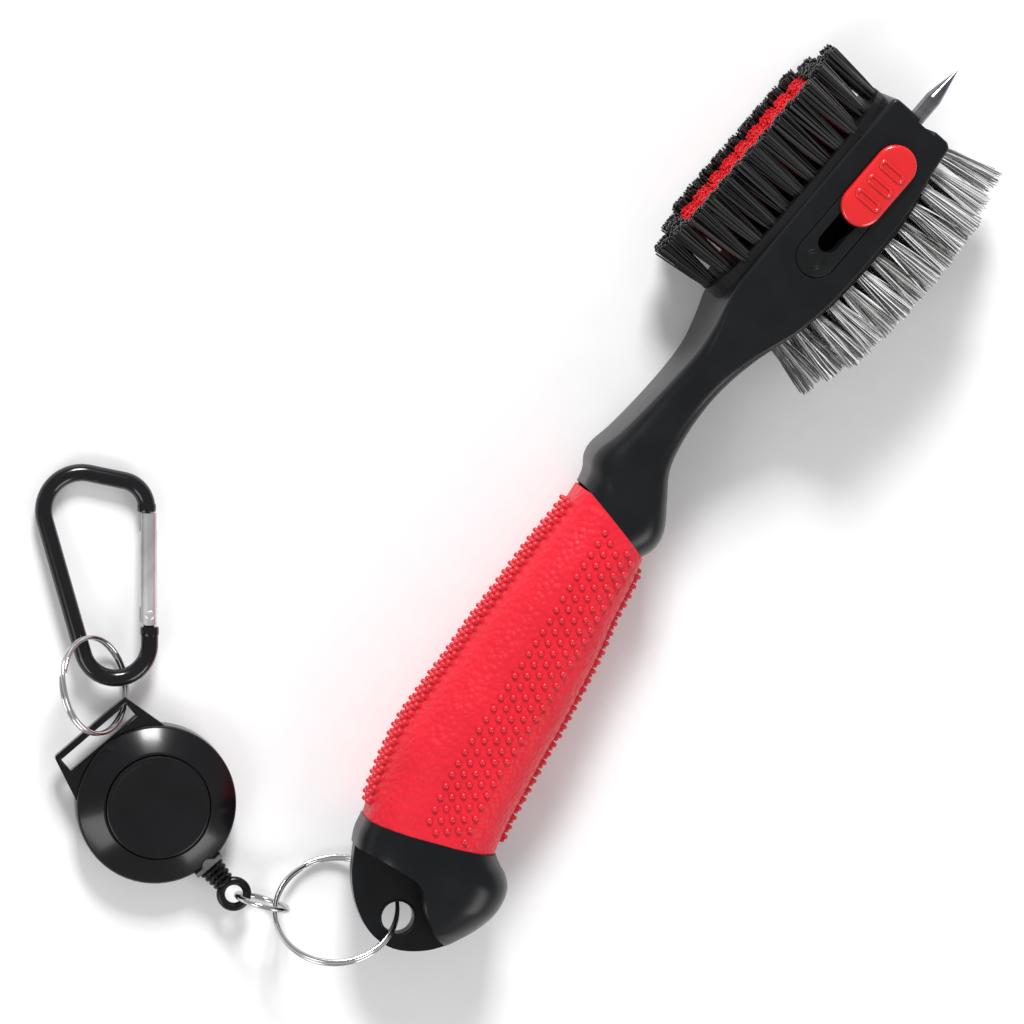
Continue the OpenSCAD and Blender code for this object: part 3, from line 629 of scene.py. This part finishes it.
cutters.append(lathe("hole", [(0, 5), (3.3, 5), (3.3, 20), (0, 20)], hole_place, cap_black, 64))
carve(cap, cutters, 40)
round_edges(cap, 0.22, 3, 45)
lip_rim = join("lip_rim", [
    tube("rim", [(LANYARD[0] + x, LANYARD[1] + y, z) for x, y in circle(3.55, 64)], 0.22, cap_black,
         sides=10, closed=True)
    for z in LIP])

# ---------------------------------------------------------------- tufts
ROWS, COLUMNS = 13, 6
FIELD_Y, FIELD_LENGTH, FIELD_WIDTH = -0.75, 53.0, 25.0
ROW_PITCH, COLUMN_PITCH = FIELD_LENGTH / 12.8, FIELD_WIDTH / 6.25


def tuft_places():
    """y and z of each tuft in the oval field, and whether it is in the block of red ones."""
    for i in range(ROWS):
        for j in range(COLUMNS):
            y = (i - (ROWS - 1) / 2) * ROW_PITCH
            z = (j - (COLUMNS - 1) / 2) * COLUMN_PITCH
            if (y / FIELD_LENGTH) ** 2 + (z / FIELD_WIDTH / 1.05) ** 2 <= 0.263:
                red = abs(i - 6) <= 4 and abs(j - 2.5) <= 1.5
                yield y + FIELD_Y, z + MID_Z, red


def filaments(name, tufts, count, root_r, radius, sides, rings, wave, mat, seed):
    """Bundles of filaments; tufts holds (root, length, direction, lean in y, lean in z, spread)."""
    dice = random.Random(seed)
    verts, faces = [], []
    for root, length, direction, lean_y, lean_z, spread in tufts:
        for _ in range(count):
            a, q = dice.uniform(0, 2 * math.pi), math.sqrt(dice.random())
            ry, rz = root_r * q * math.cos(a), root_r * q * math.sin(a)
            ty = ry * (1 + spread) + lean_y + dice.gauss(0, 0.2)
            tz = rz * (1 + spread) + lean_z + dice.gauss(0, 0.2)
            reach = length * dice.uniform(0.955, 1.0) * (1 - 0.03 * q * q)
            phase, turn = dice.uniform(0, 6.28), dice.uniform(0, 6.28)
            start = len(verts)
            for k in range(rings):
                t = k / (rings - 1)
                sway = wave * math.sin(phase + 9.0 * reach * t * 0.47)
                x = root[0] + direction * reach * t
                y = root[1] + ry + (ty - ry) * t ** 0.9 + sway * math.cos(turn)
                z = root[2] + rz + (tz - rz) * t ** 0.9 + sway * math.sin(turn)
                for i in range(sides):
                    b = 2 * math.pi * i / sides
                    verts.append((x, y + radius * math.cos(b), z + radius * math.sin(b)))
            for k in range(rings - 1):
                for i in range(sides):
                    n = (i + 1) % sides
                    faces.append((start + k * sides + i, start + k * sides + n,
                                  start + (k + 1) * sides + n, start + (k + 1) * sides + i))
            faces.append(tuple(start + (rings - 1) * sides + i for i in range(sides)))
    return outward(add(name, verts, faces, mat, sharp=70))


ROOT_SINK = 0.4
RED_SHORTER = 1.3
nylon_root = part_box("nylon_pad")[0][0] / MM + ROOT_SINK
nylon_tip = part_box("nylon_tufts_black")[0][0] / MM
wire_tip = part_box("wire_tufts")[1][0] / MM
nylon_sets = {True: [], False: []}
for y, z, red in tuft_places():
    edge_y, edge_z = (y - FIELD_Y) / 26, (z - MID_Z) / 12
    lean = (0.1 * edge_y, 0.35 * edge_z)
    reach = nylon_root - nylon_tip - 1.2 * abs(edge_y) ** 6
    nylon_sets[red].append(((nylon_root, y, z), reach - (RED_SHORTER if red else 0), -1, *lean, 0.85))
NYLON = {"radius": 0.19, "sides": 5, "rings": 4, "wave": 0.05}
black_tufts = filaments("black_filaments", nylon_sets[False], 72, 1.25, mat=nylon_black, seed=11, **NYLON)
red_tufts = filaments("red_filaments", nylon_sets[True], 60, 1.15, mat=nylon_red, seed=12, **NYLON)

# y and x of the face that the wires stand on
WIRE_FACE = [[-31, 5.4], [-27, 6.6], [-22, 8.1], [-14, 9.3], [-4, 9.7], [6, 9.6], [15, 8.6], [25.2, 6.6],
             [27, 5.5]]
wire_sets = []
for y, z, _ in tuft_places():
    for a, b in zip(WIRE_FACE, WIRE_FACE[1:]):
        if a[0] <= y <= b[0]:
            face_x = a[1] + (b[1] - a[1]) * (y - a[0]) / (b[0] - a[0]) - 0.3
    edge_y, edge_z = (y - FIELD_Y) / 26, (z - MID_Z) / 12
    splay = 1.3 * edge_y + (2.3 if edge_y > 0 else 0.9) * math.copysign(abs(edge_y) ** 8, edge_y)
    end = wire_tip - (2.0 if edge_y > 0 else 3.4) * edge_y * edge_y
    wire_sets.append(((face_x, y, z), end - face_x, 1, splay, 0.4 * edge_z, 1.35))
wires = filaments("wire_filaments", wire_sets, 72, 1.25, radius=0.11, sides=3, rings=10, wave=0.2,
                  mat=wire_steel, seed=13)


# ---------------------------------------------------------------- rings
RING_STEPS = 240


def leaned(tilt, azimuth, centre):
    """A ring's place: tilted about its Y, then turned about Z, then moved to centre."""
    return (Matrix.Translation(centre) @ Matrix.Rotation(math.radians(azimuth), 4, "Z")
            @ Matrix.Rotation(math.radians(tilt), 4, "Y"))


def split_ring(name, r, wire_r, place, start, mat):
    """Nearly two turns of wire side by side, with a sloping crossover and two cut ends."""
    path = []
    for k in range(RING_STEPS + 1):
        a = 716 * k / RING_STEPS
        t = min(max((a - 335) / 50, 0), 1)
        h = wire_r * (2 * t * t * (3 - 2 * t) - 1)
        b = math.radians(a + start)
        path.append(place @ Vector((r * math.cos(b), r * math.sin(b), h)))
    return tube(name, path, wire_r, mat, sides=16, ends=0.12)


def box_centre(node):
    """Middle of a node's box, in mm."""
    low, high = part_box(node)
    return (Vector(low) + Vector(high)) / 2 / MM


LOWER_TILT, LOWER_AZIMUTH, LOWER_R = 43.0, 143.4, 12.4
UPPER_TILT, UPPER_AZIMUTH, UPPER_R = 46.3, 56.7, 9.7
lower_place = leaned(LOWER_TILT, LOWER_AZIMUTH, box_centre("lower_split_ring"))
lower_ring = split_ring("lower_ring", LOWER_R, 0.49, lower_place, 20, ring_nickel)
upper_place = leaned(UPPER_TILT, UPPER_AZIMUTH, box_centre("upper_split_ring"))
upper_ring = split_ring("upper_ring", UPPER_R, 0.44, upper_place, 150, ring_nickel)
LINK_ANGLE, LINK_R, LINK_WIRE_R = 24.7, 5.4, 0.6
link_place = (Matrix.Translation(box_centre("link_ring")) @ Matrix.Rotation(math.radians(LINK_ANGLE), 4, "Z")
              @ Matrix.Rotation(math.radians(90), 4, "X"))
link = tube("link", [link_place @ Vector((x, y, 0)) for x, y in circle(LINK_R, 96)], LINK_WIRE_R, ring_nickel,
            sides=16, closed=True)

# ---------------------------------------------------------------- the reel
EXIT_ANGLE = -9.1
disc_low, disc_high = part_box("reel_front_disc")
reel_x, reel_y = (disc_low[0] + disc_high[0]) / 2 / MM, (disc_low[1] + disc_high[1]) / 2 / MM
REEL_R, DISC_R, CORD_Z = 16.2, 10.5, 5
exit_turn = Matrix.Rotation(math.radians(EXIT_ANGLE), 4, "Z")
reel_place = Matrix.Translation((reel_x, reel_y, 0)) @ exit_turn
exit_place = Matrix.Translation((reel_x, reel_y, CORD_Z)) @ exit_turn
cord_place = exit_place @ Matrix.Rotation(math.radians(90), 4, "Y")
back_turned = lathe("back_turned", [(0, 0), (14.6, 0), (15.3, 0.2), (15.9, 0.7), (REEL_R, 1.4), (REEL_R, 5.35),
                                    (16.05, 5.5), (15.4, 5.5), (0, 5.5)], reel_place, reel_gloss)
front = lathe("front_shell", [(0, 5.7), (15.6, 5.7), (16.05, 5.72), (REEL_R, 5.85), (REEL_R, 6.15),
                              (16.05, 6.45), (15.7, 6.72), (11.3, 8.95), (11.0, 9.1), (10.75, 9.12),
                              (10.66, 9.0), (10.62, 8.0), (0, 8.0)], reel_place, reel_gloss)
disc = lathe("front_disc", [(0, 7.95), (DISC_R, 7.95), (DISC_R, 9.3), (10.42, 9.48), (10.2, 9.58), (9.9, 9.6),
                            (9.55, 9.52), (9.3, 9.45), (0, 9.42)], reel_place, disc_black)


def reel_local(points, z):
    """Points given from the reel's middle, out through its tab."""
    turned = Matrix.Translation((reel_x, reel_y, 0)) @ Matrix.Rotation(math.radians(EXIT_ANGLE + 180), 4, "Z")
    return [tuple(turned @ Vector((p[0], p[1], z))) for p in points]


tab_outline = [[8, -12.5], [20.6, -9.4], [21, -8.9], [21, 8.9], [20.6, 9.4], [8, 12.5]]
tab = stack("tab", [reel_local(tab_outline, z) for z in (4.0, 5.6)], reel_gloss)
TAB_SLOT = [[16.7, -8.6], [19.7, -8.6], [19.7, 8.6], [16.7, 8.6]]
slot_cut = stack("slot_cut", [reel_local(TAB_SLOT, z) for z in (0, 9)], reel_gloss)
back_body = lathe("back_body", [(0, 2), (15.5, 2), (15.5, 7), (0, 7)], reel_place, reel_gloss)
carve(tab, [slot_cut, back_body], 40)
round_edges(tab, 0.2, 3, 40)
rim_path = reel_local([[16.35, -8.75], [16.35, 8.75], [19.95, 8.75], [19.95, -8.75]], 5.62)
slot_rim = join("slot_rim", [tube("slot_rim", [a, b], 0.17, reel_gloss, sides=10, ends=0.1)
                             for a, b in zip(rim_path, rim_path[1:] + rim_path[:1])])

# Radius and distance from the reel's middle of the ribbed strain relief
rib_profile = [(0.0, 15.2), (1.25, 15.2), (1.25, 17.2)]
for i in range(4):
    r, x = 2.75 - 0.15 * i, 17.3 + 1.15 * i
    rib_profile += [(1.25, x), (r - 0.25, x), (r, x + 0.2), (r, x + 0.55), (r - 0.25, x + 0.74),
                    (1.25, x + 0.76)]
rib_profile += [(1.25, 21.8), (0.0, 21.8)]
relief = lathe("relief", rib_profile, cord_place, disc_black, 40)
EYE_DISTANCE, EYE_R, EYE_BAR_R = 24.7, 2.7, 0.88
eye_at = exit_place @ Matrix.Translation((EYE_DISTANCE, 0, 0))
eye = tube("eye_ring", [eye_at @ Vector((x, y, 0)) for x, y in circle(EYE_R, 64)], EYE_BAR_R, disc_black,
           sides=18, closed=True)
eye_collar = lathe("eye_collar", [(0, 2.55), (0.85, 2.55), (0.95, 2.65), (0.95, 3.1), (0.85, 3.2), (0, 3.2)],
                   cord_place @ Matrix.Translation((0, 0, 18.6)), disc_black, 32)
cord_eye = join("cord_end", [relief, eye, eye_collar])

CORD_START, CORD_STOP, CORD_R, CORD_STEPS = 13.4, 17.5, 0.58, 60
cord_reach = [CORD_START + (CORD_STOP - CORD_START) * k / CORD_STEPS for k in range(CORD_STEPS + 1)]
cord = tube("cord", [cord_place @ Vector((0, 0, h)) for h in cord_reach], CORD_R, cord_black, sides=12)

# ---------------------------------------------------------------- the carabiner
CLIP_AT, CLIP_TURN, CLIP_LEAN = Vector((-64.7, -150.6, 3.35)), 40.4, -3.8
clip_place = (Matrix.Translation(CLIP_AT) @ Matrix.Rotation(math.radians(CLIP_TURN), 4, "Z")
              @ Matrix.Rotation(math.radians(CLIP_LEAN), 4, "X"))
# Centre and radius of the frame's three bends, on the middle of its rod
WIDE, WIDE_R = (-3.25, 13.1), 7.65
NOSE, NOSE_R = (4.2, 13.5), 5.7
LOW, LOW_R = (3.65, -13.95), 6.85


def tangent(a, ra, b, rb, side):
    """Angle at which a straight line leaves one bend for the next."""
    dx, dy = b[0] - a[0], b[1] - a[1]
    return math.atan2(dy, dx) + side * math.acos((ra - rb) / math.hypot(dx, dy))


def arc(c, r, a0, a1, steps):
    return [(c[0] + r * math.cos(a0 + (a1 - a0) * i / steps), c[1] + r * math.sin(a0 + (a1 - a0) * i / steps))
            for i in range(steps + 1)]


top_angle = tangent(WIDE, WIDE_R, NOSE, NOSE_R, 1)
spine_angle = tangent(WIDE, WIDE_R, LOW, LOW_R, -1) + 2 * math.pi
route = [(9.9, 12.75)] + arc(NOSE, NOSE_R, 0, top_angle, 20) + arc(WIDE, WIDE_R, top_angle, spine_angle, 36)
route += arc(LOW, LOW_R, spine_angle, 2 * math.pi, 40) + [(10.5, -10.5)]
clip = [tube("rod", [clip_place @ Vector((u, v, 0)) for u, v in route], 1.75, clip_black, sides=32)]
for u, v0, v1 in ((9.9, 12.75, 14.4), (10.5, -12.3, -10.5)):
    clip.append(tube("collar", [clip_place @ Vector((u, v0 + (v1 - v0) * k / 4, 0)) for k in range(5)],
                     [1.78, 1.9, 1.9, 1.9, 1.78], clip_black, sides=32))
TONGUE = ((9.3, -11), (11.3, -11), (11.6, -7.8), (10.9, -6.8), (9.9, -6.8), (9.2, -7.8))
HOOK = ((9.68, 9.75), (10.5, 9.75), (10.5, 13.1), (9.68, 13.1))
for name, shape in (("tongue", TONGUE), ("hook", HOOK)):
    clip.append(stack(name, [[tuple(clip_place @ Vector((u, v, z))) for u, v in shape] for z in (-0.68, 0.68)],
                      clip_black))
clip = join("clip", clip)
RIVET = [(0, -0.4), (0.95, -0.4), (0.95, 0.02), (0.8, 0.1), (0.4, 0.14), (0, 0.15)]
rivets = []
for side in (1, -1):
    face = (clip_place @ Matrix.Translation((10.4, -8, side * 1.72))
            @ Matrix.Rotation(0 if side > 0 else math.pi, 4, "X"))
    rivets.append(lathe("rivet", RIVET, face, gate_silver, 28))
rivet = join("rivets", rivets)

# ---------------------------------------------------------------- pieces and bodies
PIECES = [
    (head, "brush", ["handle_core"]), (plate, "brush", ["track_plate"]), (mark, "brush", []),
    (slider, "spike_unit", ["thumb_slider"]), (grip, "brush", ["grip_sleeve"]), (nub_mesh, "brush", []),
    (dot_mesh, "brush", []), (cap, "brush", ["end_cap"]), (lip_rim, "brush", []),
    (black_tufts, "brush", ["nylon_tufts_black"]), (red_tufts, "brush", ["nylon_tufts_red"]),
    (wires, "brush", ["wire_tufts"]), (lower_ring, "lower_ring", ["lower_split_ring"]),
    (upper_ring, "upper_ring", ["upper_split_ring"]), (link, "link", ["link_ring"]),
    (back_turned, "reel_case", ["reel_back_shell"]), (tab, "reel_case", []), (slot_rim, "reel_case", []),
    (front, "reel_case", ["reel_front_shell"]), (disc, "reel_case", ["reel_front_disc"]),
    (cord_eye, "cord_end", ["cord_eye"]), (clip, "carabiner", ["carabiner_frame"]), (rivet, "carabiner", [])]
for obj, body, nodes in PIECES:
    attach(obj, body)
    if nodes:
        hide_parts(*nodes)
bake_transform(cord)
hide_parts("cord_lead")

CARRIED = {
    "nylon_pad": pad_black, "wire_pad": pad_black, "nylon_anchors": plain_steel, "wire_anchors": plain_steel,
    "spike_carrier": inner_grey, "spike": spike_steel, "detent_spring": plain_steel, "exit_bush": bush_grey,
    "reel_axle": plain_steel, "spool": inner_grey, "cord_winding": cord_black, "power_spring": plain_steel,
    "gate_pivot_pin": gate_silver, "carabiner_gate": gate_silver, "gate_latch_pin": plain_steel,
    "gate_plunger": plain_steel, "gate_spring": plain_steel}
for node, mat in CARRIED.items():
    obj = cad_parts[node]
    obj.data.materials.clear()
    obj.data.materials.append(mat)
for node, width in (("nylon_pad", 0.3), ("wire_pad", 0.2), ("carabiner_gate", 0.18), ("exit_bush", 0.15)):
    round_edges(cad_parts[node], width, 2, 40)

# ---------------------------------------------------------------- floor and light
floor_mat = material("floor_pale", (0.86, 0.86, 0.87), 0.55, tint=0.01, specular=0.2)
FLOOR_HALF = 3000
floor_z = first_bounds[0][2] / MM - 0.05
floor_corners = ((-1, -1), (1, -1), (1, 1), (-1, 1))
floor = add("floor", [(x * FLOOR_HALF, y * FLOOR_HALF, floor_z) for x, y in floor_corners],
            [(0, 1, 2, 3)], floor_mat, smooth=False)
world = bpy.data.worlds.new("studio")
world.use_nodes = True
world.node_tree.nodes["Background"].inputs["Color"].default_value = (1, 1, 1, 1)
world.node_tree.nodes["Background"].inputs["Strength"].default_value = 0.44
bpy.context.scene.world = world
LIGHTS = (("key", (-0.75, 0.7, 0.75), 0.34, 19), ("fill", (0.95, -0.3, 0.6), 0.5, 4),
          ("back", (-0.2, -1.0, 0.7), 0.5, 3.5))
LIGHT_AIM = Vector((-0.01, -0.08, 0.01))
for name, at, size, power in LIGHTS:
    lamp = bpy.data.lights.new(name, "AREA")
    lamp.size = size
    lamp.energy = power
    obj = bpy.data.objects.new(name, lamp)
    obj.location = at
    obj.rotation_euler = (LIGHT_AIM - Vector(at)).to_track_quat("-Z", "Y").to_euler()
    bpy.context.scene.collection.objects.link(obj)
bpy.context.scene.view_settings.view_transform = "Standard"
